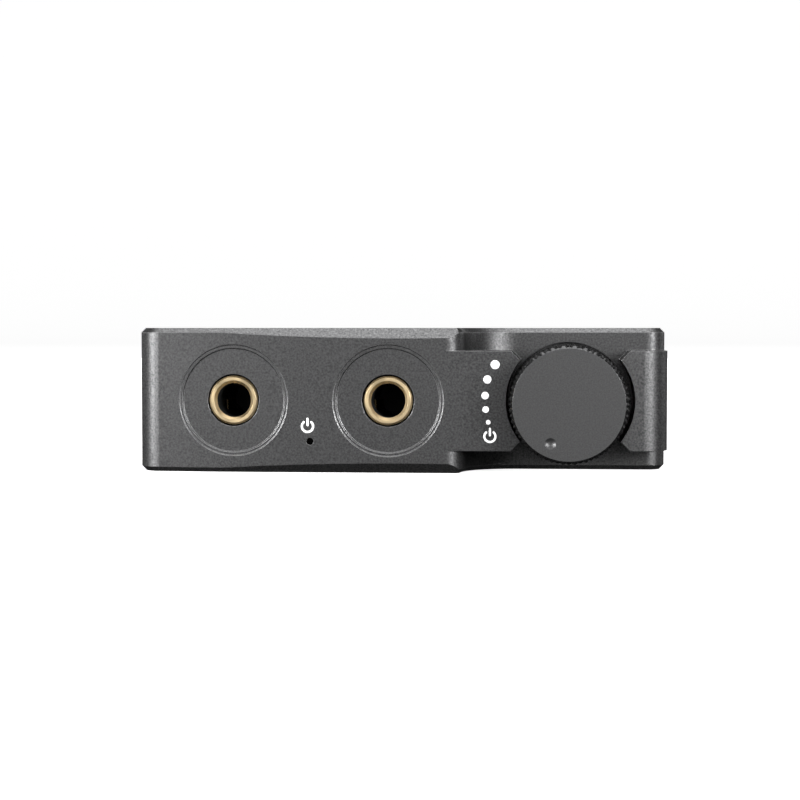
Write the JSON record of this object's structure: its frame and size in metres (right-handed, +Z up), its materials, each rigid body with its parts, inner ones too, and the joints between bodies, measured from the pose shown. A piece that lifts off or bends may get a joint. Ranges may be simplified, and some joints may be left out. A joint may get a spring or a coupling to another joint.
{
  "type": "headphone amplifier",
  "caption": "Pocket headphone amplifier in a flat metal case, with two plated jack sockets and a knurled volume knob recessed in a finger scoop at its front end.",
  "frame": {"origin": "centre of the whole object's box, on its bottom face", "axes": "+Z up, -Y towards the front end with the jacks and the knob, +X to the right seen from the front"},
  "size_m": [0.057, 0.1108, 0.0155],
  "materials": {
    "anodised_body": "bead-blasted dark grey anodised",
    "anodised_knob": "fine-turned dark grey anodised with a diamond knurl",
    "gold_plate": "polished gold plate",
    "spring_metal": "bright spring bronze",
    "steel": "satin steel",
    "black_steel": "black oxide",
    "tin_plate": "bright tin plate",
    "black_plastic": "matt moulded",
    "white_plastic": "matt moulded",
    "clear_plastic": "clear moulded",
    "board_green": "solder-masked laminate",
    "track_carbon": "carbon on laminate",
    "chip_black": "moulded epoxy",
    "can_silver": "bright drawn can",
    "ceramic_tan": "fired ceramic",
    "ferrite": "pressed ferrite",
    "pouch_foil": "satin laminated foil",
    "foam": "thin foam tape",
    "fish_paper": "insulating sheet"
  },
  "bodies": {
    "case": {"housing": "anodised_body", "rear_panel": "anodised_body", "rear_panel_screws": "black_steel", "pot_bushing": "steel", "pot_case": "black_plastic", "pot_track": "track_carbon", "pot_switch_case": "black_plastic", "pot_terminals": "tin_plate", "headphone_jack_ring": "gold_plate", "headphone_jack_body": "black_plastic", "headphone_jack_contacts": "spring_metal", "line_in_jack_ring": "gold_plate", "line_in_jack_body": "black_plastic", "line_in_jack_contacts": "spring_metal", "power_light_pipe": "clear_plastic", "power_led": "white_plastic", "charge_light_pipe": "clear_plastic", "charge_led": "white_plastic", "charging_port_shell": "steel", "charging_port_tongue": "black_plastic", "charging_port_contacts": "gold_plate", "gain_switch_frame": "steel", "gain_switch_terminals": "tin_plate", "main_board": "board_green", "amplifier_chips": "chip_black", "amplifier_chip_leads": "tin_plate", "capacitor_cans": "can_silver", "capacitor_bases": "black_plastic", "ceramic_capacitors": "ceramic_tan", "chip_resistors": "chip_black", "charge_controller": "chip_black", "power_inductor": "ferrite", "battery_cell": "pouch_foil", "battery_pad": "foam", "insulating_sheet": "fish_paper", "battery_guard_board": "board_green", "battery_tabs": "tin_plate"},
    "knob": {"volume_knob": "anodised_knob", "knob_insert": "black_plastic", "pot_shaft": "steel", "pot_rotor": "white_plastic", "pot_wiper": "spring_metal"},
    "gain_slider": {"gain_switch_slider": "black_plastic"}
  },
  "joints": [
    {"name": "volume_turn", "type": "hinge", "parent": "case", "child": "knob", "pos_m": [0.01795, -0.05, 0.00755], "axis": [0, 1, 0], "range_deg": [0, 300]},
    {"name": "gain_slide", "type": "slide", "parent": "case", "child": "gain_slider", "axis": [1, 0, 0], "range_m": [0, 0.002]}
  ]
}
